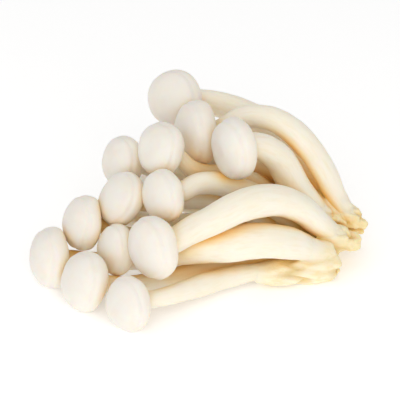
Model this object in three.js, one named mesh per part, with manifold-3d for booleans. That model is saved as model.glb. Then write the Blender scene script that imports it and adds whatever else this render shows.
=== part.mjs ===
// A cluster of white beech mushrooms, picked and laid on its side, in millimetres with +Z up.
//
// Seventeen mushrooms grow from one foot. The foot and the lowest caps rest on the surface, the crowns
// fan out to the left, and the stems arch to the right and come together in the foot, where the cluster
// was cut from its block. Every cap, every stem and the foot is a solid of its own. The origin is the
// middle of the surface that the cluster covers.

import * as THREE from "three";
import { mergeVertices } from "three/addons/utils/BufferGeometryUtils.js";
import Module from "manifold-3d";

const wasm = await Module();
wasm.setup();

// ---- driving dimensions --------------------------------------------------------------------------

const GAP = 0.35; // air between solids that touch
const CAP_SEGMENTS = 14; // facets round a cap
const STEM_SIDES = 8; // facets round a stem
const STEM_STEP = 5.5; // distance between the rings of a stem
const CROWN_RISE = 0.7; // height of the crown over the widest ring, in cap radii
const LIP_DROP = 0.34; // depth of the rolled lip under the widest ring, in cap radii
const ROOF_DROP = 0.1; // depth of the roof between the gills, where the stem joins, in cap radii
const COLLAR = 6; // length of stem that leaves the cap straight

// How thick a stem is along its length, from the cap at 0 to the foot at 1: shares of its full thickness.
const STEM_SHAPE = [
  [0, 0.7],
  [0.2, 0.84],
  [0.5, 1.0],
  [0.75, 0.92],
  [0.9, 0.7],
  [1, 0.5],
];

const WHITE_CAP = { color: 0xf3ebdf, roughness: 0.55, metalness: 0 };
const CREAM_STEM = { color: 0xf4e9cf, roughness: 0.5, metalness: 0 };
const TAN_FOOT = { color: 0xe3cb94, roughness: 0.75, metalness: 0 };

// ---- the mushrooms -------------------------------------------------------------------------------

// at: the centre of the cap's widest ring. facing: the way its crown looks. width: across the cap.
// stem: the points that the stem bends through, and last its foot. thick: the stem at its thickest.
const MUSHROOMS = [
  // the high caps at the back, on the stems that arch over the others
  {
    at: [-8.8, 36.3, 45.8],
    facing: [-0.62, -0.7, 0.36],
    width: 20.7,
    thick: 10.6,
    stem: [
      [4, 42.4, 41.6], [16, 38, 39.4], [27, 31.5, 34.4],
      [35, 25, 26.8], [42, 20, 18.5], [47, 16.5, 12.5],
    ],
  },
  {
    at: [-0.5, 17.5, 41.5],
    facing: [-0.93, -0.35, 0.08],
    width: 22,
    thick: 9.2,
    stem: [
      [14, 20, 46.5], [21, 19, 47.5], [28, 17, 46], [37, 13, 39.5],
      [44, 10.5, 28.3], [49.5, 9.8, 17], [54.5, 9, 11.6],
    ],
  },
  {
    at: [12.3, -0.5, 44.6],
    facing: [-0.88, -0.47, 0],
    width: 21,
    thick: 11.5,
    stem: [
      [20.4, 3.4, 43.4], [24.6, 5.4, 40.6], [28.3, 7, 35.5],
      [32, 6.2, 28], [37.3, 4.9, 20.3], [45, 4, 12.3],
    ],
  },
  // the caps on the left side, from the top down
  {
    at: [-26.5, 12.6, 32.3],
    facing: [-0.8, -0.5, 0.33],
    width: 18.5,
    thick: 8,
    stem: [[-14, 19, 25.5], [0, 20.5, 21], [14, 20.5, 20.8], [27, 18.4, 19.3], [40, 14.5, 11.5]],
  },
  {
    at: [-13, 1.5, 43],
    facing: [-0.75, -0.53, 0.39],
    width: 18.5,
    thick: 7,
    stem: [
      [-5, 5, 34.5], [3.5, 8.4, 30], [12, 10.8, 28.4],
      [20, 11.5, 24.4], [30, 10.5, 17], [39, 8, 12.6],
    ],
  },
  {
    at: [-12, -14.4, 33.5],
    facing: [-0.82, -0.54, 0.2],
    width: 18,
    thick: 9,
    stem: [[-3, -7, 34], [6, -1.5, 31.8], [15.5, 1, 27.2], [25, 0.8, 22], [32, 0, 16.6], [37, 0, 12]],
  },
  {
    at: [-26.4, -7, 28.2],
    facing: [-0.76, -0.42, 0.5],
    width: 19,
    thick: 7,
    stem: [[-14, -1, 24], [-1, 4, 22.6], [12, 5, 20.1], [24, 0.3, 14.2], [36, 3, 8.8]],
  },
  {
    at: [-39.5, -9, 20.3],
    facing: [-0.9, -0.32, 0.28],
    width: 19,
    thick: 7,
    stem: [[-28, -6, 14.5], [-14, -7, 13], [2, -8, 11.7], [18, -8, 11.3], [39, -5.5, 9.2]],
  },
  // the caps that rest on the surface
  {
    at: [-50.5, -15.5, 10.1],
    facing: [-0.92, -0.36, 0.14],
    width: 20.4,
    thick: 7.4,
    stem: [[-38, -12, 7], [-22, -8.5, 5.4], [-4, -4, 5], [14, -1, 5.2], [39, -1, 5]],
  },
  {
    at: [-38.3, -30.8, 9.7],
    facing: [-0.8, -0.5, 0.34],
    width: 20,
    thick: 7.6,
    stem: [
      [-26, -26.4, 5.4], [-12, -21, 4.6], [2, -15, 4.5],
      [16, -9.5, 4.4], [28, -8, 4.6], [39, -6, 4.6],
    ],
  },
  {
    at: [-27.8, -19.8, 15.8],
    facing: [-0.86, -0.46, 0.22],
    width: 17.2,
    thick: 12,
    stem: [
      [-16, -17, 14.3], [-4, -19.6, 16.2], [8, -21, 18.7], [20, -19.7, 19.4],
      [30, -16.5, 16.8], [37.5, -12.5, 11.8], [44, -9, 8.4],
    ],
  },
  {
    at: [-14.9, -31, 23],
    facing: [-0.82, -0.56, 0.05],
    width: 21,
    thick: 11.6,
    stem: [
      [-5, -25, 25], [4, -23.5, 29], [12, -20, 32], [20, -15.5, 32.5],
      [29, -11, 29.8], [36, -7.5, 23.8], [42.5, -4.8, 15.8], [49, -2.5, 10.8],
    ],
  },
  {
    at: [-23.2, -44, 9],
    facing: [-0.72, -0.66, 0.2],
    width: 18.2,
    thick: 7.8,
    stem: [[-12, -38.3, 8.2], [-3, -30.8, 7], [6, -23, 6], [15, -17.8, 5.4], [27, -14.8, 5.2]],
  },
  // the small caps at the back
  {
    at: [-32, 21, 8.4],
    facing: [-0.85, 0.3, 0.3],
    width: 17,
    thick: 6.6,
    stem: [[-20, 14, 7], [-6, 11, 5.5], [9, 10.5, 5], [24, 10, 4.4], [40, 8, 4.6]],
  },
  {
    at: [-17, 30, 14],
    facing: [-0.72, 0.55, 0.4],
    width: 16,
    thick: 6.4,
    stem: [[-6, 24, 9.6], [8, 21, 8.8], [22, 19, 8.5], [34, 17, 7.5], [43, 14.5, 6]],
  },
  {
    at: [-30.5, 7, 17],
    facing: [-0.92, 0.1, 0.36],
    width: 14.5,
    thick: 6.2,
    stem: [[-18, 6, 13.5], [-2, 5.5, 13], [13, 7, 12.6], [27, 8, 11], [38, 8, 9.2]],
  },
  {
    at: [6, 25, 32.5],
    facing: [-0.78, -0.2, 0.55],
    width: 14,
    thick: 7.4,
    stem: [[13.5, 21, 30], [22, 18.2, 29.2], [30, 15.5, 25.8], [37.5, 13.2, 19], [44, 11.8, 13]],
  },
];

// ---- the foot ------------------------------------------------------------------------------------

// Lumps of fused stem ends: the points that a lump runs through, its thickness, and the share of it left
// at the ends.
const FOOT_LUMPS = [
  { run: [[44, 11, 7.5], [51, 9.6, 9.4], [58.3, 8.5, 9.4]], thick: 7, ends: 0.6 },
  { run: [[42, 16, 7], [47, 14.5, 9], [52.5, 12.5, 9]], thick: 7.6, ends: 0.7 },
  { run: [[36.5, 8.6, 24.5], [40.5, 8.2, 19.5], [44, 7.4, 15], [50, 5.2, 11]], thick: 6.6, ends: 0.5 },
  { run: [[42, -2.6, 7.6], [49, -2, 9], [54.6, -0.6, 7.8]], thick: 8, ends: 0.66 },
  { run: [[19, -16.6, 4.6], [29, -15, 4.3], [39, -13.4, 4.4], [47.6, -11.8, 4.8]], thick: 9.2, ends: 0.78 },
];

// The heart of the foot that the lumps grow from: its centre, and its reach along X, Y and Z.
const HEART = { at: [38.5, 1.5, 6.2], reach: [10.5, 17, 7.2] };

// ---- shapes --------------------------------------------------------------------------------------

const vector = (p) => new THREE.Vector3(...p);

// A value read off a list of [place, value] pairs, with straight stretches between them.
function along(pairs, place) {
  const next = pairs.findIndex(([at]) => at >= place);
  if (next <= 0) return pairs[Math.max(next, 0)][1];
  const [a, from] = pairs[next - 1];
  const [b, to] = pairs[next];
  return from + ((to - from) * (place - a)) / (b - a);
}

// A cylinder bent along a curve, with a radius that changes from one end (0) to the other (1).
function bentRod(curve, sides, steps, radiusAt) {
  const rod = new THREE.CylinderGeometry(1, 1, 1, sides, steps);
  const place = rod.getAttribute("position");
  const frames = curve.computeFrenetFrames(steps);
  const spot = new THREE.Vector3();
  for (let i = 0; i < place.count; i++) {
    const share = 0.5 - place.getY(i);
    const ring = Math.round(share * steps);
    const radius = radiusAt(share);
    curve.getPointAt(share, spot);
    spot.addScaledVector(frames.normals[ring], place.getX(i) * radius);
    spot.addScaledVector(frames.binormals[ring], place.getZ(i) * radius);
    place.setXYZ(i, spot.x, spot.y, spot.z);
  }
  return welded(rod);
}

// The same shape with shared corners, which a closed solid needs.
function welded(geometry) {
  const bare = geometry.clone();
  bare.deleteAttribute("normal");
  bare.deleteAttribute("uv");
  return mergeVertices(bare, 1e-4);
}

// A cap of radius 1 with its crown up Y: a domed crown, a rolled lip, and a roof under it for the stem.
function capProfile() {
  const crown = new THREE.EllipseCurve(0, 0, 1, CROWN_RISE, Math.PI / 2, 0, true).getPoints(5);
  const lip = [
    [0.97, -0.16],
    [0.84, -LIP_DROP + 0.03],
    [0.7, -LIP_DROP],
    [0.5, -ROOF_DROP - 0.02],
  ].map(([across, up]) => new THREE.Vector2(across, up));
  crown[0].x = 0;
  return [...crown, ...lip, new THREE.Vector2(0, -ROOF_DROP)].reverse();
}

function capGeometry() {
  return new THREE.LatheGeometry(capProfile(), CAP_SEGMENTS);
}

// The line down the middle of a stem, from the roof of its cap to its foot.
function stemCurve({ at, facing, width, stem }) {
  const crownward = vector(facing).normalize();
  const roof = vector(at).addScaledVector(crownward, (-ROOF_DROP * width) / 2 - GAP);
  const collar = roof.clone().addScaledVector(crownward, -COLLAR);
  return new THREE.CatmullRomCurve3([roof, collar, ...stem.map(vector)], false, "centripetal");
}

// A stem, grown outwards by a margin where a socket is to be cut for it.
function stemGeometry(mushroom, margin = 0) {
  const curve = stemCurve(mushroom);
  const steps = Math.round(curve.getLength() / STEM_STEP);
  const radiusAt = (share) => (along(STEM_SHAPE, share) * mushroom.thick) / 2 + margin;
  return bentRod(curve, STEM_SIDES, steps, radiusAt);
}

// ---- joining and cutting -------------------------------------------------------------------------

function solidFrom(geometry) {
  return new wasm.Manifold(
    new wasm.Mesh({
      numProp: 3,
      vertProperties: new Float32Array(geometry.getAttribute("position").array),
      triVerts: new Uint32Array(geometry.index.array),
    }),
  );
}

function geometryFrom(solid) {
  const mesh = solid.getMesh();
  const geometry = new THREE.BufferGeometry();
  geometry.setAttribute("position", new THREE.BufferAttribute(mesh.vertProperties, 3));
  geometry.setIndex(new THREE.BufferAttribute(mesh.triVerts, 1));
  return geometry;
}

function lumpGeometry({ run, thick, ends }) {
  const curve = new THREE.CatmullRomCurve3(run.map(vector), false, "centripetal");
  const steps = Math.round(curve.getLength() / 4);
  const radiusAt = (share) => (thick / 2) * (ends + (1 - ends) * Math.sin(Math.PI * share));
  return bentRod(curve, 10, steps, radiusAt);
}

// The fused foot: its lumps joined, a socket cut for every stem, and the underside flat where it rests.
function footGeometry() {
  const reach = 200;
  const below = welded(new THREE.BoxGeometry(reach, reach, reach).translate(0, 0, -reach / 2));
  const heart = welded(new THREE.SphereGeometry(1, 16, 10).scale(...HEART.reach).translate(...HEART.at));
  let foot = FOOT_LUMPS.reduce((whole, lump) => whole.add(solidFrom(lumpGeometry(lump))), solidFrom(heart));
  for (const mushroom of MUSHROOMS) foot = foot.subtract(solidFrom(stemGeometry(mushroom, GAP)));
  return geometryFrom(foot.subtract(solidFrom(below)));
}

// ---- the cluster ---------------------------------------------------------------------------------

const number = (index) => String(index + 1).padStart(2, "0");

function capMesh(mushroom, index) {
  const mesh = new THREE.Mesh(capGeometry(), new THREE.MeshStandardMaterial(WHITE_CAP));
  mesh.name = `cap_${number(index)}`;
  mesh.position.fromArray(mushroom.at);
  const crownward = vector(mushroom.facing).normalize();
  const level = new THREE.Vector3(0, 0, 1).cross(crownward).normalize();
  const upward = crownward.clone().cross(level);
  mesh.quaternion.setFromRotationMatrix(new THREE.Matrix4().makeBasis(upward, crownward, level));
  mesh.scale.setScalar(mushroom.width / 2);
  return mesh;
}

function stemMesh(mushroom, index) {
  const mesh = new THREE.Mesh(stemGeometry(mushroom), new THREE.MeshStandardMaterial(CREAM_STEM));
  mesh.name = `stem_${number(index)}`;
  return mesh;
}

function footMesh() {
  const mesh = new THREE.Mesh(footGeometry(), new THREE.MeshStandardMaterial(TAN_FOOT));
  mesh.name = "foot";
  return mesh;
}

const laid = new THREE.Group();
laid.add(...MUSHROOMS.map(capMesh), ...MUSHROOMS.map(stemMesh), footMesh());

const cluster = new THREE.Group();
cluster.add(laid);
const covered = new THREE.Box3().setFromObject(laid, true);
const middle = covered.getCenter(new THREE.Vector3());
laid.position.set(-middle.x, -middle.y, -covered.min.z);

export default cluster;
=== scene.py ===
import math
import random

import bmesh
import bpy
import numpy as np
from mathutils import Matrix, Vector, noise
from mathutils.bvhtree import BVHTree


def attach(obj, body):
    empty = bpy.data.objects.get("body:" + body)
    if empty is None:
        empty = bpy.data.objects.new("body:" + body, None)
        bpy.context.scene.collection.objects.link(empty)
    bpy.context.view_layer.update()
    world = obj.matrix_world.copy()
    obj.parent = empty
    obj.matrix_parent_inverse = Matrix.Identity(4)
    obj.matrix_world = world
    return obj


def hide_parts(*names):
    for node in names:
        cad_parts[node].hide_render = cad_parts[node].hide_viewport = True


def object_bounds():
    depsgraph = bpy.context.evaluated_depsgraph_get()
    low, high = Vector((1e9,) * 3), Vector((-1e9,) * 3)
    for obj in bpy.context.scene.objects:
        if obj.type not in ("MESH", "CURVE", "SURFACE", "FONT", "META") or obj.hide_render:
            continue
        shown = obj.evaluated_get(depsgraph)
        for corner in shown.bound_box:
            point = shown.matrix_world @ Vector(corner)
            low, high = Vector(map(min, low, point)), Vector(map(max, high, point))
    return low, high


# A cluster of white beech mushrooms, cut from its block and laid on its side.
#
# The construction gives each mushroom's cap and stem as plain solids, and the foot that joins them. The
# sections below read the cap's crown, centre and width and the stem's middle line and thickness from those
# solids, and grow the finished caps, gills, stems and foot on them.

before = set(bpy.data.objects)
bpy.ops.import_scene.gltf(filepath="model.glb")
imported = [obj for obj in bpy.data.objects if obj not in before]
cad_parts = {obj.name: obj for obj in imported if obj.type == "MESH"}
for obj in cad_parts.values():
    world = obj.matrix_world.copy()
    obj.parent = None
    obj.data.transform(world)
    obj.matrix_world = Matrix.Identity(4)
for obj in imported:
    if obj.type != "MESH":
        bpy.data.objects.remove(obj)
cad_low, cad_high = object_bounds()

MM = 0.001
NUMBERS = sorted(name.split("_")[1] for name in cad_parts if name.startswith("cap_"))

# ---- reading the construction -------------------------------------------------------------------

ROOF = -0.1  # height of the roof under a cap, in cap radii above its widest ring
CROWN = 0.7  # height of the crown, measured the same way


def solid(name):
    """A solid of the construction, with the corners that its faces share joined into one."""
    mesh = bmesh.new()
    mesh.from_mesh(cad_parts[name].data)
    bmesh.ops.remove_doubles(mesh, verts=mesh.verts, dist=1e-6)
    mesh.verts.index_update()
    return mesh


def hubs(mesh):
    """The two corners where the most edges meet: the ends of a turned or bent solid."""
    return sorted(mesh.verts, key=lambda v: (len(v.link_edges), v.index))[-2:]


def read_cap(number):
    """A cap's centre, crown direction and radius."""
    mesh = solid(f"cap_{number}")
    middle = sum((v.co for v in mesh.verts), Vector()) / len(mesh.verts)
    roof, crown = sorted((v.co.copy() for v in hubs(mesh)), key=lambda p: (p - middle).length)
    mesh.free()
    radius = (crown - roof).length / (CROWN - ROOF)
    axis = (crown - roof).normalized()
    return {"centre": roof - axis * radius * ROOF, "axis": axis, "radius": radius}


def read_stem(number, cap):
    """A stem's rings from the cap to the foot, as rows of x, y, z and radius."""
    mesh = solid(f"stem_{number}")
    layer = [min(hubs(mesh), key=lambda v: (v.co - cap["centre"]).length)]
    seen, rows = set(layer), []
    while layer:
        middle = sum((v.co for v in layer), Vector()) / len(layer)
        rows.append((*middle, sum((v.co - middle).length for v in layer) / len(layer)))
        ahead = {edge.other_vert(v) for v in layer for edge in v.link_edges}
        layer = sorted(ahead - seen, key=lambda v: v.index)
        seen.update(layer)
    mesh.free()
    return np.array(rows[1:-1])


# ---- growing shapes -----------------------------------------------------------------------------


def spline(knots, values, places):
    """Values read off the smooth line through the given ones."""
    slopes = np.gradient(values, knots, axis=0)
    k = np.clip(np.searchsorted(knots, places, side="right") - 1, 0, len(knots) - 2)
    width = (knots[k + 1] - knots[k])[:, None]
    t = (places - knots[k])[:, None] / width
    start = (2 * t**3 - 3 * t**2 + 1) * values[k] + (t**3 - 2 * t**2 + t) * width * slopes[k]
    return start + (3 * t**2 - 2 * t**3) * values[k + 1] + (t**3 - t**2) * width * slopes[k + 1]


def soft_step(low, high, value):
    """0 below low, 1 above high, and a smooth rise between them."""
    t = np.clip((value - low) / (high - low), 0, 1)
    return t * t * (3 - 2 * t)


def lumps(points, size, seed):
    """Smooth noise from -1 to 1 at each point, with features of the given size."""
    shift = Vector((seed * 7.31, seed * 3.17, seed * 5.73))
    flat = points.reshape(-1, 3) / size
    return np.array([noise.noise(Vector(p) + shift) for p in flat]).reshape(points.shape[:-1])


def closed_sheet(name, rows, first, last):
    """A closed mesh from rings of points, with a single point closing each end."""
    rings, sides = rows.shape[:2]
    points = np.concatenate([rows.reshape(-1, 3), [first], [last]])
    start, end = rings * sides, rings * sides + 1
    faces = []
    for j in range(sides):
        k = (j + 1) % sides
        faces.append((start, j, k))
        faces.append((end, (rings - 1) * sides + k, (rings - 1) * sides + j))
        for i in range(rings - 1):
            faces.append((i * sides + j, (i + 1) * sides + j, (i + 1) * sides + k, i * sides + k))
    mesh = bpy.data.meshes.new(name)
    mesh.from_pydata(points.tolist(), [], faces)
    return finished(name, mesh)


def finished(name, mesh):
    """A mesh with its faces outward and smooth, as an object in the scene."""
    shape = bmesh.new()
    shape.from_mesh(mesh)
    bmesh.ops.recalc_face_normals(shape, faces=shape.faces)
    shape.to_mesh(mesh)
    shape.free()
    mesh.shade_smooth()
    piece = bpy.data.objects.new(name, mesh)
    bpy.context.scene.collection.objects.link(piece)
    return piece


def paint(piece, name, values):
    """Stores a number, or a direction, on each point of a piece for its material to read."""
    values = np.asarray(values, np.float32)
    kind = "FLOAT" if values.ndim == 1 else "FLOAT_VECTOR"
    layer = piece.data.attributes.new(name, kind, "POINT")
    layer.data.foreach_set("value" if values.ndim == 1 else "vector", values.ravel())


# ---- caps ---------------------------------------------------------------------------------------

CAP_SIDES = 192
PLUMP = 1.025  # the living cap against its plain solid, so that neighbours touch
DOME_RINGS = 28
LIP_RINGS = 12
GILL_RINGS = 8
GROOVE_TURN = math.radians(73)  # where the dome meets the rolled lip, down from the crown
GROOVE_DEPTH = 0.034
GROOVE_WIDTH = 0.11  # how wide the groove is, as a turn in radians
LIP_ROUND = 0.28  # how far in the lip rolls, in cap radii
LIP_DROP = 0.335  # how far down the lip rolls
LIP_TURN = math.radians(122)  # how far round the lip rolls before the gills start
GILL_INNER = 0.26  # where the gills meet the stem
GILL_DEPTH = 0.13
SHORT_GILLS = (0.36, 0.5)  # every other gill ends between these distances from the axis
CAP_OVAL = (0.005, 0.03)  # how far from round a cap is, at least and at most
LIP_WAVE = (0.008, 0.026)  # how much its lip rises and falls
CAP_LEAN = 0.05  # how far one side may stand above the other
DIMPLE = (-0.01, 0.05)  # how far the crown sinks
DIMPLE_WIDTH = 0.3
TOP_RISE = 0.004  # how far the very top stands above the first ring
SWELLS = ((0.9, 0.055, 0), (0.4, 0.016, 40))  # size in cap radii, height and seed of a cap's uneven swells


def cap_outline():
    """The cap's outline from crown to roof: distance from the axis, height, and depth of the gills."""
    rows = []
    for i in range(1, DOME_RINGS + 1):
        turn = i / DOME_RINGS * math.pi / 2
        groove = 1 - GROOVE_DEPTH * math.exp(-(((turn - GROOVE_TURN) / GROOVE_WIDTH) ** 2))
        rows.append((math.sin(turn) * groove, CROWN * math.cos(turn) ** 0.9 * groove, 0))
    for i in range(1, LIP_RINGS + 1):
        turn = i / LIP_RINGS * LIP_TURN
        rows.append((1 - LIP_ROUND + LIP_ROUND * math.cos(turn), -LIP_DROP * math.sin(turn), 0))
    edge, drop = rows[-1][:2]
    for i in range(1, GILL_RINGS + 1):
        share = i / GILL_RINGS
        height = drop + (ROOF - drop) * share**1.4
        depth = GILL_DEPTH * math.sin(math.pi * share) ** 0.6
        rows.append((edge + (GILL_INNER - edge) * share, height, depth))
    return np.array(rows)


def grow_cap(number, cap):
    """A cap with a domed crown, a rolled lip and gills, uneven in the way that each one grows."""
    seed = int(number)
    draw = random.Random(seed)
    outline = cap_outline()
    axis = np.array(cap["axis"])
    level = np.array(Vector((0, 0, 1)).cross(cap["axis"]).normalized())
    upward = np.cross(axis, level)
    turns = np.arange(CAP_SIDES) / CAP_SIDES * 2 * math.pi
    spokes = np.cos(turns)[:, None] * level + np.sin(turns)[:, None] * upward

    gill = np.arange(CAP_SIDES) % 2
    short = (np.arange(CAP_SIDES) % 4) // 2
    reach = soft_step(*SHORT_GILLS, outline[:, 0])[:, None]
    sunk = outline[:, 2][:, None] * gill * (1 - short * (1 - reach))

    oval = 1 + draw.uniform(*CAP_OVAL) * np.cos(2 * (turns - draw.uniform(0, math.pi)))
    across = outline[:, 0][:, None] * oval
    wave = sum(draw.uniform(*LIP_WAVE) * np.cos(k * turns + draw.uniform(0, 6.28)) for k in (2, 3, 5))
    lean = draw.uniform(-CAP_LEAN, CAP_LEAN) * np.cos(turns - draw.uniform(0, 6.28))
    height = outline[:, 1][:, None] + sunk + across * lean + soft_step(0.75, 1, across) * wave
    sink = np.exp(-((across / DIMPLE_WIDTH) ** 2)) * (outline[:, 1][:, None] > 0)
    dimple = draw.uniform(*DIMPLE) * sink
    local = across[:, :, None] * spokes + (height - dimple)[:, :, None] * axis
    swell = 1
    for size, amount, more in SWELLS:
        swell = swell + amount * lumps(local, size, seed + more)
    centre = np.array(cap["centre"])
    rows = centre + local * swell[:, :, None] * cap["radius"] * PLUMP
    rows[..., 2] = np.maximum(rows[..., 2], cad_low.z)

    crown = rows[0].mean(axis=0) + axis * TOP_RISE * cap["radius"]
    roof = centre + axis * ROOF * cap["radius"]
    piece = closed_sheet(f"crown_{number}", rows, crown, roof)
    skin_rings = DOME_RINGS + LIP_RINGS - 1
    # mask for painted warm reflected light, rising towards the lip
    edge = np.repeat(soft_step(0.55, 1.0, np.arange(len(outline)) / skin_rings), CAP_SIDES)
    paint(piece, "edge", np.concatenate([edge, [0, 1]]))
    return piece, rows


# ---- stems --------------------------------------------------------------------------------------

STEM_SIDES = 40
STEM_STEP = 0.8 * MM
TUCK = 0.9 * MM  # how far a stem runs up into its cap
NECK_FLARE = 0.16  # how much wider a stem is where it meets its cap
NECK_LENGTH = 1.6 * MM
STEM_TWIST = 0.7  # how far its grooves may turn along it, in radians
STEM_OVAL = 0.04  # how far from round it is
STEM_GROOVE = (0.002, 0.007)  # how deep one groove is, at least and at most, in stem radii
STEM_SWELLS = ((9 * MM, 0.07, 60), (3 * MM, 0.02, 80))  # size, height in stem radii, and seed
EASING = 40  # how many times the bends of a stem are evened out
EASING_SHARE = 0.25  # how far a point moves towards its neighbours each time
SLEEVE = 15 * MM  # the last stretch of a stem, where the foot's flesh runs up it


def stem_line(rings, cap):
    """The stem's middle line in short steps: rows of x, y, z and radius, and distances from the cap."""
    top = rings[0].copy()
    top[:3] += np.array(cap["axis"]) * TUCK
    rings = np.vstack([top, rings])
    knots = np.concatenate([[0], np.cumsum(np.linalg.norm(np.diff(rings[:, :3], axis=0), axis=1))])
    places = np.linspace(0, knots[-1], int(knots[-1] / STEM_STEP))
    line = spline(knots, rings, places)
    for _ in range(EASING):
        line[1:-1, :3] += EASING_SHARE * (line[:-2, :3] + line[2:, :3] - 2 * line[1:-1, :3])
    return line, places


def sideways(points):
    """Two directions across a line at each of its points, carried along it without twisting."""
    ahead = np.gradient(points, axis=0)
    ahead /= np.linalg.norm(ahead, axis=1)[:, None]
    side = np.cross(ahead[0], (0.3, 0.9, 0.2))
    across = []
    for direction in ahead:
        side = side - direction * side.dot(direction)
        side = side / np.linalg.norm(side)
        across.append(side)
    across = np.array(across)
    return across, np.cross(ahead, across)


def spokes_round(points, sides):
    """The turns of the given number of spokes, and their directions at each point of a line."""
    side, up = sideways(points)
    turns = np.arange(sides) / sides * 2 * math.pi
    return turns, np.cos(turns)[None, :, None] * side[:, None] + np.sin(turns)[None, :, None] * up[:, None]


def grow_stem(number, rings, cap):
    """A stem with a flared neck, uneven thickness and soft grooves along it."""
    seed = int(number)
    draw = random.Random(100 + seed)
    line, places = stem_line(rings, cap)
    turns, spokes = spokes_round(line[:, :3], STEM_SIDES)
    length = places[-1]
    share = (places / length)[:, None]

    flare = NECK_FLARE * np.exp(-places / NECK_LENGTH)[:, None]
    twist = turns + share * draw.uniform(-STEM_TWIST, STEM_TWIST)
    oval = STEM_OVAL * np.cos(2 * (twist + draw.uniform(0, 3.14)))
    grooves = sum(
        draw.uniform(*STEM_GROOVE) * np.cos(k * twist + draw.uniform(0, 6.28) + draw.uniform(-1, 1) * share)
        for k in (3, 5, 7, 9, 12)
    )
    grooves = grooves * (0.7 + 1.4 * soft_step(0.7, 1, share))
    radius = line[:, 3][:, None] * (1 + flare + oval + grooves)
    rows = line[:, None, :3] + spokes * radius[:, :, None]
    for size, amount, more in STEM_SWELLS:
        rows += spokes * (line[:, 3][:, None] * amount * lumps(rows, size, seed + more))[:, :, None]
    rows[..., 2] = np.maximum(rows[..., 2], cad_low.z)

    piece = closed_sheet(f"stalk_{number}", rows, line[0, :3], line[-1, :3])
    grain = np.empty(rows.shape)
    grain[..., 0] = np.cos(turns) * 3
    grain[..., 1] = np.sin(turns) * 3
    grain[..., 2] = places[:, None] / (9 * MM) + seed * 5
    ends = [[0, 0, seed * 5], [0, 0, grain[-1, 0, 2]]]
    paint(piece, "grain", np.concatenate([grain.reshape(-1, 3), ends]))
    footward = np.repeat(soft_step(length - SLEEVE, length, places), STEM_SIDES)
    paint(piece, "footward", np.concatenate([footward, [0, 1]]))
    return piece, rows, line


# ---- foot ---------------------------------------------------------------------------------------

FOOT_GRAIN = 0.42 * MM  # the size of the foot's finest faces
FOOT_EASING = 14  # how many times the joins between its parts are eased
FOLD_WIDTH = 4.6 * MM
FOLD_HEIGHT = 1.9 * MM
FOLD_RISE = 0.3  # how soon a fold is at its full height, on the way out of a crease
FOLD_SINK = 0.62  # the share of a fold that lies below the plain surface
RIPPLE_WIDTH = 2.1 * MM
RIPPLE_HEIGHT = 0.5 * MM
CREASE_REACH = 0.14  # how far up the folds' sides the painted shade of a crease still reaches
FINE_LUMPS = (1.1 * MM, 0.12 * MM, 7)  # size, height and seed of the small lumps all over it
TEARS = ((2.0 * MM, 0.75 * MM, 11), (0.9 * MM, 0.3 * MM, 13))  # the same for its torn tips
TIP_START = 0.8  # where the torn tips start, as a share of the cluster's length
SLEEVE_SIDES = 20
SLEEVE_START = 0.88  # how thick a sleeve is where it starts, in stem radii
SLEEVE_GAIN = 0.3  # how much thicker it is at the cut
HUG = 0.45 * MM  # flesh this near a stem follows it fully
HUG_FADE = 1.1 * MM
STEM_SHOWS = (0.12, 0.6)  # where a stem's own shape comes through, as shares of the sleeve from the cut


def sleeve(number, line):
    """The foot's flesh round the end of a stem: inside it where it starts and thicker towards the cut."""
    steps = int(SLEEVE / STEM_STEP)
    part = line[-steps:].copy()
    beyond = part[-1, :3] - part[-2, :3]
    share = np.linspace(0, 1, steps)[:, None]
    _, spokes = spokes_round(part[:, :3], SLEEVE_SIDES)
    radius = part[:, 3][:, None] * (SLEEVE_START + SLEEVE_GAIN * share**0.8)
    rows = part[:, None, :3] + spokes * radius[:, :, None]
    return closed_sheet(f"sleeve_{number}", rows, part[0, :3], part[-1, :3] + beyond)


def grown_together(parts):
    """One mesh from several overlapping ones, with their joins eased."""
    joined = bmesh.new()
    for part in parts:
        joined.from_mesh(part.data)
        bpy.data.objects.remove(part)
    mesh = bpy.data.meshes.new("foot_mass")
    joined.to_mesh(mesh)
    joined.free()
    mass = bpy.data.objects.new("foot_mass", mesh)
    bpy.context.scene.collection.objects.link(mass)
    grown = mass.modifiers.new("grown together", "REMESH")
    grown.mode = "VOXEL"
    grown.voxel_size = FOOT_GRAIN
    eased = mass.modifiers.new("eased", "SMOOTH")
    eased.iterations = FOOT_EASING
    eased.factor = 0.6
    depsgraph = bpy.context.evaluated_depsgraph_get()
    grown_mesh = bpy.data.meshes.new_from_object(mass.evaluated_get(depsgraph))
    bpy.data.objects.remove(mass)
    return without_crumbs(grown_mesh)


def without_crumbs(mesh):
    """The mesh with only its largest piece left, without closed pockets or crumbs."""
    shape = bmesh.new()
    shape.from_mesh(mesh)
    left, parts = set(shape.verts), []
    while left:
        part = {left.pop()}
        front = set(part)
        while front:
            front = {edge.other_vert(v) for v in front for edge in v.link_edges} - part
            part |= front
        left -= part
        parts.append(part)
    crumbs = [v for part in sorted(parts, key=len)[:-1] for v in part]
    bmesh.ops.delete(shape, geom=crumbs, context="VERTS")
    shape.to_mesh(mesh)
    shape.free()
    return mesh


def folds(points):
    """Long folds in the foot's flesh: their height, and how near each point is to a crease between them."""
    stretched = points * (0.16, 1, 1) + (0, 0, 0.1) * points[:, :1]
    wide = lumps(stretched, FOLD_WIDTH, 3)
    narrow = lumps(stretched, RIPPLE_WIDTH, 5)
    height = FOLD_HEIGHT * (soft_step(0, FOLD_RISE, np.abs(wide)) - FOLD_SINK) + RIPPLE_HEIGHT * narrow
    crease = np.exp(-((wide / CREASE_REACH) ** 2))
    return height, crease


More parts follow.
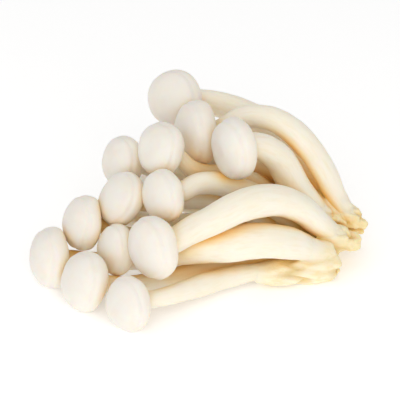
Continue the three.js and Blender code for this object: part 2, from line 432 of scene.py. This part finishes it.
def grow_foot(lines):
    """The foot: the construction's solid and a sleeve round each stem end, grown together and torn."""
    core = bpy.data.objects.new("core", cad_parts["foot"].data.copy())
    bpy.context.scene.collection.objects.link(core)
    piece = finished("cut_foot", grown_together([core, *(sleeve(*pair) for pair in lines.items())]))

    count = len(piece.data.vertices)
    points = np.empty(count * 3, np.float32)
    normals = np.empty(count * 3, np.float32)
    piece.data.vertices.foreach_get("co", points)
    piece.data.vertices.foreach_get("normal", normals)
    points, normals = points.reshape(-1, 3).astype(float), normals.reshape(-1, 3)

    share, footward = stem_share(points, lines)
    bare = 1 - share
    push, crease = folds(points)
    size, amount, seed = FINE_LUMPS
    push += amount * lumps(points, size, seed)
    tip = soft_step(TIP_START, 1.0, (points[:, 0] - cad_low.x) / (cad_high.x - cad_low.x))
    push += tip * sum(amount * lumps(points, size, seed) for size, amount, seed in TEARS)
    points += normals * (push * bare)[:, None]
    points[:, 2] = np.maximum(points[:, 2], cad_low.z)
    piece.data.vertices.foreach_set("co", points.ravel().astype(np.float32))
    paint(piece, "bare", bare)
    paint(piece, "footward", footward)
    paint(piece, "tip", tip)
    # mask for painted shade in the creases between the folds
    paint(piece, "crease", crease * bare)
    return piece


def stem_share(points, lines):
    """How much each point of the foot belongs to a stem, and how far down that stem it lies."""
    share, down, closest = np.zeros(len(points)), np.ones(len(points)), np.full(len(points), np.inf)
    for line in lines.values():
        part = line[-int(SLEEVE / STEM_STEP) :]
        gap = np.linalg.norm(points[:, None] - part[None, :, :3], axis=2) - part[None, :, 3]
        nearest = gap.argmin(axis=1)
        clear = gap[np.arange(len(points)), nearest]
        above = 1 - nearest / len(part)
        on_stem = np.exp(-((np.maximum(clear - HUG, 0) / HUG_FADE) ** 2))
        share = np.maximum(share, on_stem * soft_step(*STEM_SHOWS, above))
        down = np.where(clear < closest, 1 - above, down)
        closest = np.minimum(clear, closest)
    return share, soft_step(0, 1, down)


# ---- shade between the pieces -------------------------------------------------------------------

SHADE_REACH = 14 * MM  # how far away a piece still gives shade
SHADE_FALL = 0.6  # how much less shade it gives at that distance
SHADE_LIFT = 0.15  # how far off the surface the rays start, in millimetres
SHADE_EASING = 8  # how many times the foot's shade is evened out
RAYS, QUICK_RAYS = 28, 12
CAP_PICKS = (2, 12)  # rings and sides from one point where shade is worked out to the next
STEM_PICKS = (4, 5)


def hemisphere(count):
    """Directions spread evenly over a half sphere, more of them near its pole."""
    golden = math.pi * (3 - math.sqrt(5))
    spread = []
    for i in range(count):
        up = math.sqrt(1 - (i + 0.5) / count)
        out = math.sqrt(1 - up * up)
        spread.append(Vector((out * math.cos(i * golden), out * math.sin(i * golden), up)))
    return spread


def shade_at(point, normal, tree, rays):
    """How enclosed a point is: 0 in the open, 1 deep between the pieces, and nan inside one of them."""
    turn = Vector((0, 0, 1)).rotation_difference(normal)
    start = point + normal * SHADE_LIFT * MM
    blocked, inside = 0, 0
    for ray in rays:
        way = turn @ ray
        _, facing, _, distance = tree.ray_cast(start, way, SHADE_REACH)
        if distance is not None:
            blocked += 1 - SHADE_FALL * distance / SHADE_REACH
            inside += facing.dot(way) > 0
    return math.nan if inside > len(rays) / 2 else blocked / len(rays)


def without_gaps(row):
    """A row of numbers with its missing ones filled in from those beside them."""
    known = np.flatnonzero(~np.isnan(row))
    return np.interp(np.arange(len(row)), known, row[known]) if len(known) else np.zeros(len(row))


def shade_grid(piece, shape, tree, rays, every):
    """Shade for a piece made of rings, worked out on some points and spread between them."""
    rings, sides = shape
    vertices = piece.data.vertices
    ring_picks = np.unique(np.append(np.arange(0, rings, every[0]), rings - 1))
    side_picks = np.arange(0, sides, every[1])
    coarse = np.empty((len(ring_picks), len(side_picks) + 1))
    for a, i in enumerate(ring_picks):
        for b, j in enumerate(side_picks):
            v = vertices[int(i * sides + j)]
            coarse[a, b] = shade_at(v.co, v.normal, tree, rays)
        coarse[a, -1] = coarse[a, 0]
    coarse = np.array([without_gaps(column) for column in coarse.T]).T
    ends = np.append(side_picks, sides)
    around = np.array([np.interp(np.arange(sides), ends, row) for row in coarse])
    full = np.array([np.interp(np.arange(rings), ring_picks, column) for column in around.T]).T
    paint(piece, "shade", np.concatenate([full.ravel(), [full[0].mean(), full[-1].mean()]]))


def shade_foot(piece, tree, rays):
    """Shade for the foot, worked out on every point and evened out with its neighbours."""
    values = np.array([shade_at(v.co, v.normal, tree, rays) for v in piece.data.vertices])
    weights = 1.0 - np.isnan(values)
    values = np.nan_to_num(values)
    a, b = np.array([edge.vertices[:] for edge in piece.data.edges]).T
    for _ in range(SHADE_EASING):
        sums = values + np.bincount(a, values[b], len(values)) + np.bincount(b, values[a], len(values))
        parts = weights + np.bincount(a, weights[b], len(values)) + np.bincount(b, weights[a], len(values))
        values, weights = sums / np.maximum(parts, 1), np.minimum(parts, 1)
    paint(piece, "shade", values)


def everything_tree(pieces):
    """All the pieces, ready for casting rays between them."""
    points, faces = [], []
    for piece in pieces:
        start = len(points)
        points += [v.co.copy() for v in piece.data.vertices]
        faces += [[start + k for k in face.vertices] for face in piece.data.polygons]
    return BVHTree.FromPolygons(points, faces)


# ---- material building blocks -------------------------------------------------------------------


def node(tree, kind, inputs=(), **settings):
    """A shader node with its settings, and its inputs set to values or joined to other nodes' outputs."""
    made = tree.nodes.new(kind)
    for name, value in settings.items():
        setattr(made, name, value)
    for key, value in dict(inputs).items():
        if isinstance(value, bpy.types.NodeSocket):
            tree.links.new(value, made.inputs[key])
        else:
            made.inputs[key].default_value = value
    return made


def group(name, inputs, outputs):
    """An empty node group with named inputs and outputs, and the nodes that stand for them."""
    tree = bpy.data.node_groups.new(name, "ShaderNodeTree")
    for label, (kind, value) in inputs.items():
        socket = tree.interface.new_socket(label, in_out="INPUT", socket_type=kind)
        if value is not None:
            socket.default_value = value
    for label, kind in outputs.items():
        tree.interface.new_socket(label, in_out="OUTPUT", socket_type=kind)
    return tree, tree.nodes.new("NodeGroupInput").outputs, tree.nodes.new("NodeGroupOutput").inputs


def mix_colours(tree, factor, a, b, blend="MIX"):
    """A colour between two others."""
    made = node(tree, "ShaderNodeMix", data_type="RGBA", blend_type=blend)
    for socket, value in ((made.inputs[0], factor), (made.inputs[6], a), (made.inputs[7], b)):
        if isinstance(value, bpy.types.NodeSocket):
            tree.links.new(value, socket)
        else:
            socket.default_value = value
    return made.outputs[2]


def maths(tree, operation, a, b=0.0, clamp=False):
    """One sum on two numbers."""
    return node(tree, "ShaderNodeMath", {0: a, 1: b}, operation=operation, use_clamp=clamp).outputs[0]


def ramp(tree, value, low, high):
    """0 below low, 1 above high, and a smooth rise between them."""
    inputs = {"Value": value, "From Min": low, "From Max": high}
    return node(tree, "ShaderNodeMapRange", inputs, interpolation_type="SMOOTHSTEP").outputs[0]


def clouds(tree, place, scale, detail=3.0, roughness=0.5):
    """Soft cloudy noise from 0 to 1."""
    inputs = {"Vector": place, "Scale": scale, "Detail": detail, "Roughness": roughness}
    return node(tree, "ShaderNodeTexNoise", inputs).outputs[0]


def mottle_group():
    """Soft uneven patches over a colour: cream where the flesh is thin, and small faint flecks."""
    inputs = {
        "Place": ("NodeSocketVector", None),
        "Colour": ("NodeSocketColor", (1, 1, 1, 1)),
        "Patch Colour": ("NodeSocketColor", (1, 1, 1, 1)),
        "Patch Size": ("NodeSocketFloat", 200.0),
        "Strength": ("NodeSocketFloat", 0.5),
    }
    tree, given, out = group("mottle", inputs, {"Colour": "NodeSocketColor"})
    patches = ramp(tree, clouds(tree, given["Place"], given["Patch Size"]), 0.42, 0.68)
    patched = maths(tree, "MULTIPLY", patches, given["Strength"])
    colour = mix_colours(tree, patched, given["Colour"], given["Patch Colour"])
    small = maths(tree, "MULTIPLY", given["Patch Size"], 7.0)
    flecks = ramp(tree, clouds(tree, given["Place"], small, 4.0, 0.6), 0.56, 0.74)
    flecked = maths(tree, "MULTIPLY", maths(tree, "MULTIPLY", flecks, given["Strength"]), 0.45)
    colour = mix_colours(tree, flecked, colour, given["Patch Colour"])
    tree.links.new(colour, out["Colour"])
    return tree


def painted_shade_group():
    """Painted shade: flesh is tinted from its own colour to honey, and to a deep colour far in between its
    neighbours, as the shade between the pieces rises.
    """
    inputs = {
        "Colour": ("NodeSocketColor", (1, 1, 1, 1)),
        "Deep Shade Colour": ("NodeSocketColor", (1, 1, 1, 1)),
        "Strength": ("NodeSocketFloat", 1.0),
    }
    tree, given, out = group("painted_hollow_shade", inputs, {"Colour": "NodeSocketColor"})
    shade = node(tree, "ShaderNodeAttribute", attribute_name="shade").outputs["Fac"]
    honey = maths(tree, "MULTIPLY", ramp(tree, shade, 0.14, 0.45), given["Strength"], clamp=True)
    deep = maths(tree, "MULTIPLY", ramp(tree, shade, 0.34, 0.74), given["Strength"], clamp=True)
    # painted shade: a honey tint where a point is somewhat enclosed, then the deep colour where it is far
    # enclosed
    warm = mix_colours(tree, honey, given["Colour"], (1.0, 0.87, 0.64, 1), "MULTIPLY")
    warm = mix_colours(tree, deep, warm, given["Deep Shade Colour"], "MULTIPLY")
    tree.links.new(warm, out["Colour"])
    return tree


def grain_group():
    """Height for a bump: fine pores over soft dents."""
    inputs = {
        "Place": ("NodeSocketVector", None),
        "Pores": ("NodeSocketFloat", 4000.0),
        "Dents": ("NodeSocketFloat", 350.0),
        "Dent Share": ("NodeSocketFloat", 0.7),
    }
    tree, given, out = group("grain", inputs, {"Height": "NodeSocketFloat"})
    fine = clouds(tree, given["Place"], given["Pores"], 2.0)
    soft = clouds(tree, given["Place"], given["Dents"], 2.0)
    left = maths(tree, "SUBTRACT", 1.0, given["Dent Share"])
    pores = maths(tree, "MULTIPLY", fine, left)
    dents = maths(tree, "MULTIPLY", soft, given["Dent Share"])
    tree.links.new(maths(tree, "ADD", pores, dents), out["Height"])
    return tree


MOTTLE, PAINTED_SHADE, GRAIN = mottle_group(), painted_shade_group(), grain_group()


def use(tree, made_group, inputs):
    """A shared effect placed in a material, with its own values."""
    placed = node(tree, "ShaderNodeGroup", node_tree=made_group)
    for key, value in inputs.items():
        if isinstance(value, bpy.types.NodeSocket):
            tree.links.new(value, placed.inputs[key])
        else:
            placed.inputs[key].default_value = value
    return placed.outputs[0]


def flesh(name, roughness, scatter, scatter_depth, sheen):
    """A material of soft translucent flesh, its nodes and shader, and where its patterns are laid."""
    material = bpy.data.materials.new(name)
    material.use_nodes = True
    tree = material.node_tree
    shader = tree.nodes["Principled BSDF"]
    values = {
        "Roughness": roughness,
        "Specular IOR Level": 0.32,
        "Subsurface Weight": scatter,
        "Subsurface Radius": (1.0, 0.62, 0.34),
        "Subsurface Scale": scatter_depth,
        "Sheen Weight": sheen,
        "Sheen Roughness": 0.5,
    }
    for key, value in values.items():
        shader.inputs[key].default_value = value
    place = node(tree, "ShaderNodeTexCoord").outputs["Object"]
    return material, tree, shader, place


def bump(tree, shader, height, depth, strength):
    """Puts a fine relief on a material."""
    made = node(tree, "ShaderNodeBump", {"Height": height, "Distance": depth, "Strength": strength})
    tree.links.new(made.outputs["Normal"], shader.inputs["Normal"])


def attribute(tree, name):
    """What was painted on a piece under this name."""
    return node(tree, "ShaderNodeAttribute", attribute_name=name)


# ---- materials ----------------------------------------------------------------------------------

AMBER_SHADE = (1.0, 0.77, 0.38, 1)  # painted shade colour for the deepest hollows between stems and caps
OLIVE_SHADE = (0.84, 0.74, 0.36, 1)  # painted shade colour for the deepest hollows at the foot
CAP_WHITE = (0.875, 0.835, 0.77, 1)
# painted warm light reflected from neighbouring caps and stems, towards each cap's lip
LIP_REFLECTED_CREAM = (0.9, 0.81, 0.66, 1)
GILL_CREAM = (0.93, 0.85, 0.7, 1)
STEM_CREAM = (0.95, 0.882, 0.755, 1)
STEM_HONEY = (0.95, 0.825, 0.575, 1)
FIBRE_TAN = (0.88, 0.76, 0.55, 1)
FOOT_CREAM = (0.975, 0.88, 0.68, 1)
FOOT_TAN = (0.94, 0.78, 0.48, 1)
TIP_TAN = (0.95, 0.77, 0.4, 1)
# painted shade in the creases between the foot's folds
CREASE_SHADE = (0.76, 0.6, 0.28, 1)


def cap_material():
    """Matte warm white skin with faint water marks, creamier towards the lip as painted warm light
    reflected from its neighbours, and with painted shade in the hollows.
    """
    material, tree, shader, place = flesh("cap_skin", 0.5, 0.5, 2.4 * MM, 0.05)
    edge = attribute(tree, "edge").outputs["Fac"]
    # creamier towards the lip: painted warm reflected light
    skin = mix_colours(tree, edge, CAP_WHITE, LIP_REFLECTED_CREAM)
    marks = {"Patch Colour": (0.86, 0.78, 0.67, 1), "Patch Size": 170.0, "Strength": 0.4}
    skin = use(tree, MOTTLE, {"Place": place, "Colour": skin, **marks})
    # painted shade: warmer and darker where the cap lies enclosed between the other pieces
    warm = use(tree, PAINTED_SHADE, {"Colour": skin, "Deep Shade Colour": AMBER_SHADE, "Strength": 0.35})
    tree.links.new(warm, shader.inputs["Base Color"])
    height = use(tree, GRAIN, {"Place": place, "Pores": 3200.0, "Dents": 260.0})
    bump(tree, shader, height, 0.12 * MM, 0.5)
    return material


def gill_material():
    """Cream gills under the caps, with painted shade that warms and darkens them where they lie deep
    between the pieces.
    """
    material, tree, shader, place = flesh("gill_flesh", 0.65, 0.6, 2.4 * MM, 0.0)
    marks = {"Patch Colour": (0.84, 0.7, 0.5, 1), "Patch Size": 300.0, "Strength": 0.6}
    skin = use(tree, MOTTLE, {"Place": place, "Colour": GILL_CREAM, **marks})
    # painted shade: warmer and darker where the gills lie enclosed between the other pieces
    warm = use(tree, PAINTED_SHADE, {"Colour": skin, "Deep Shade Colour": AMBER_SHADE, "Strength": 0.7})
    tree.links.new(warm, shader.inputs["Base Color"])
    bump(tree, shader, clouds(tree, place, 2500.0), 0.05 * MM, 0.4)
    return material


def stem_material():
    """Cream flesh with long faint fibres, yellower towards the foot, with painted shade in the hollows
    between the pieces.
    """
    material, tree, shader, place = flesh("stem_flesh", 0.48, 0.4, 1.8 * MM, 0.03)
    grain = attribute(tree, "grain").outputs["Vector"]
    footward = attribute(tree, "footward").outputs["Fac"]
    base = mix_colours(tree, footward, STEM_CREAM, STEM_HONEY)
    fibres = ramp(tree, clouds(tree, grain, 1.6, 5.0, 0.62), 0.45, 0.72)
    base = mix_colours(tree, maths(tree, "MULTIPLY", fibres, 0.4), base, FIBRE_TAN)
    marks = {"Patch Colour": (0.93, 0.84, 0.66, 1), "Patch Size": 120.0, "Strength": 0.3}
    base = use(tree, MOTTLE, {"Place": place, "Colour": base, **marks})
    # painted shade: warmer and darker where the stem lies enclosed between the other pieces
    warm = use(tree, PAINTED_SHADE, {"Colour": base, "Deep Shade Colour": AMBER_SHADE, "Strength": 0.95})
    tree.links.new(warm, shader.inputs["Base Color"])
    strands = clouds(tree, grain, 5.0, 4.0, 0.6)
    height = use(tree, GRAIN, {"Place": place, "Pores": 2600.0, "Dents": 300.0, "Dent Share": 0.6})
    bump(tree, shader, maths(tree, "ADD", strands, maths(tree, "MULTIPLY", height, 0.4)), 0.16 * MM, 0.6)
    return material


def foot_material():
    """Tan, torn flesh at the cut, which pales to the stems' cream higher up, with painted shade in its
    creases and hollows.
    """
    material, tree, shader, place = flesh("foot_flesh", 0.6, 0.4, 1.8 * MM, 0.0)
    bare = attribute(tree, "bare").outputs["Fac"]
    tip = attribute(tree, "tip").outputs["Fac"]
    footward = attribute(tree, "footward").outputs["Fac"]
    long_way = node(tree, "ShaderNodeMapping", {"Vector": place, "Scale": (0.3, 1, 1)}).outputs[0]
    streaks = ramp(tree, clouds(tree, long_way, 700.0, 5.0, 0.6), 0.38, 0.7)
    crease = attribute(tree, "crease").outputs["Fac"]
    own = mix_colours(tree, streaks, FOOT_CREAM, FOOT_TAN)
    own = mix_colours(tree, maths(tree, "MULTIPLY", tip, 0.65), own, TIP_TAN)
    # painted shade in the creases between the folds
    own = mix_colours(tree, maths(tree, "MULTIPLY", crease, 0.75), own, CREASE_SHADE)
    base = mix_colours(tree, bare, mix_colours(tree, footward, STEM_CREAM, STEM_HONEY), own)
    # painted shade: warmer and darker where the foot lies enclosed between the other pieces
    warm = use(tree, PAINTED_SHADE, {"Colour": base, "Deep Shade Colour": OLIVE_SHADE, "Strength": 0.9})
    tree.links.new(warm, shader.inputs["Base Color"])
    torn = clouds(tree, long_way, 1500.0, 5.0, 0.65)
    height = use(tree, GRAIN, {"Place": place, "Pores": 2200.0, "Dents": 600.0, "Dent Share": 0.5})
    bump(tree, shader, maths(tree, "ADD", torn, height), 0.3 * MM, 0.7)
    return material


FLOOR_GLOW = 0.25  # light that the pale surface gives of its own, as a light table does


def floor_material():
    """A plain pale surface with a barely visible texture."""
    material = bpy.data.materials.new("pale_floor")
    material.use_nodes = True
    tree = material.node_tree
    shader = tree.nodes["Principled BSDF"]
    shader.inputs["Roughness"].default_value = 0.8
    shader.inputs["Specular IOR Level"].default_value = 0.2
    shader.inputs["Emission Color"].default_value = (1, 1, 1, 1)
    shader.inputs["Emission Strength"].default_value = FLOOR_GLOW
    place = node(tree, "ShaderNodeTexCoord").outputs["Object"]
    tone = mix_colours(tree, clouds(tree, place, 3.0), (0.95, 0.95, 0.95, 1), (0.965, 0.965, 0.965, 1))
    tree.links.new(tone, shader.inputs["Base Color"])
    return material


# ---- the cluster --------------------------------------------------------------------------------


def cover(piece, node_name, slot, *materials):
    """Puts a finished piece in the place of a solid of the construction."""
    for material in materials:
        piece.data.materials.append(material)
    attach(piece, "root")
    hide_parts(node_name)


def grow_cluster():
    """Every cap, stem and the foot, in the places of their solids, with the shade between them."""
    skin, gills, stem_flesh, foot_flesh = cap_material(), gill_material(), stem_material(), foot_material()
    grids, lines = [], {}
    for number in NUMBERS:
        cap = read_cap(number)
        crown, crown_rows = grow_cap(number, cap)
        stalk, stalk_rows, lines[number] = grow_stem(number, read_stem(number, cap), cap)
        cover(crown, f"cap_{number}", "cap_skin", skin, gills)
        cover(stalk, f"stem_{number}", "stem_flesh", stem_flesh)
        mark_gills(crown)
        grids += [(crown, crown_rows.shape[:2], CAP_PICKS), (stalk, stalk_rows.shape[:2], STEM_PICKS)]
    foot = grow_foot(lines)
    cover(foot, "foot", "foot_flesh", foot_flesh)

    rays = hemisphere(RAYS)
    tree = everything_tree([piece for piece, _, _ in grids] + [foot])
    for piece, shape, every in grids:
        shade_grid(piece, shape, tree, rays, every)
    shade_foot(foot, tree, rays[:: 2])


def mark_gills(crown):
    """Gives the second material to the faces inside the lip."""
    first = (DOME_RINGS + LIP_RINGS - 2) * CAP_SIDES
    for face in crown.data.polygons:
        ring_points = [k for k in face.vertices if k < (DOME_RINGS + LIP_RINGS + GILL_RINGS) * CAP_SIDES]
        if min(ring_points) >= first:
            face.material_index = 1


# ---- the studio ---------------------------------------------------------------------------------

FLOOR_REACH = 4.0
FLOOR_DROP = 0.02 * MM  # keeps the floor from touching the faces that rest on it
CAMERA_RISE = math.radians(28)
CAMERA_DISTANCE = 0.7
VIEW_WIDTH = 0.138  # how wide the view is where the cluster lies
VIEW_MIDDLE = (0.498, 0.533, 0.432)  # where the camera looks, as shares of the cluster's box
SENSOR = 36
PANELS = (  # the name, place, width, power and colour of each soft light
    ("sky_panel", (-0.1, 0.05, 0.8), 0.9, 0.75, (1.0, 0.99, 0.97)),
    ("left_panel", (-0.55, -0.5, 0.45), 0.6, 0.25, (1.0, 0.995, 0.98)),
    ("front_panel", (0.05, -0.75, 0.42), 0.8, 2.6, (1.0, 0.99, 0.97)),
)
ROOM_COLOUR = (1.0, 0.998, 0.995, 1)
ROOM_GLOW = 0.6


def lay_floor():
    """A plain surface just under the cluster."""
    mesh = bpy.data.meshes.new("floor")
    corners = [(x * FLOOR_REACH, y * FLOOR_REACH) for x, y in ((-1, -1), (1, -1), (1, 1), (-1, 1))]
    mesh.from_pydata([(x, y, cad_low.z - FLOOR_DROP) for x, y in corners], [], [(0, 1, 2, 3)])
    floor = bpy.data.objects.new("floor", mesh)
    floor.data.materials.append(floor_material())
    bpy.context.scene.collection.objects.link(floor)


def aim(thing, place, target):
    """Puts a light or camera in its place and points it at a target."""
    thing.location = place
    thing.rotation_euler = (Vector(target) - Vector(place)).to_track_quat("-Z", "Y").to_euler()


def soft_light(name, place, width, power, colour, target):
    """A round soft light that points at the cluster."""
    lamp = bpy.data.lights.new(name, "AREA")
    lamp.shape = "DISK"
    lamp.size = width
    lamp.energy = power
    lamp.color = colour
    light = bpy.data.objects.new(name, lamp)
    bpy.context.scene.collection.objects.link(light)
    aim(light, place, target)


def set_up_studio():
    """Soft lights and a pale room round the cluster."""
    middle = (cad_low + cad_high) / 2
    for panel in PANELS:
        soft_light(*panel, middle)
    world = bpy.data.worlds.new("pale_room")
    world.use_nodes = True
    world.node_tree.nodes["Background"].inputs["Color"].default_value = ROOM_COLOUR
    world.node_tree.nodes["Background"].inputs["Strength"].default_value = ROOM_GLOW
    bpy.context.scene.world = world
    bpy.context.scene.view_settings.view_transform = "Standard"


def set_up_camera():
    """A camera that looks down at the cluster from the front."""
    size = cad_high - cad_low
    target = cad_low + Vector([share * side for share, side in zip(VIEW_MIDDLE, size)])
    back = Vector((0, -math.cos(CAMERA_RISE), math.sin(CAMERA_RISE)))
    lens = bpy.data.cameras.new("camera")
    lens.sensor_width = SENSOR
    lens.lens = SENSOR * CAMERA_DISTANCE / VIEW_WIDTH
    camera = bpy.data.objects.new("camera", lens)
    bpy.context.scene.collection.objects.link(camera)
    aim(camera, target + back * CAMERA_DISTANCE, target)
    bpy.context.scene.camera = camera


set_up_camera()
grow_cluster()
lay_floor()
set_up_studio()
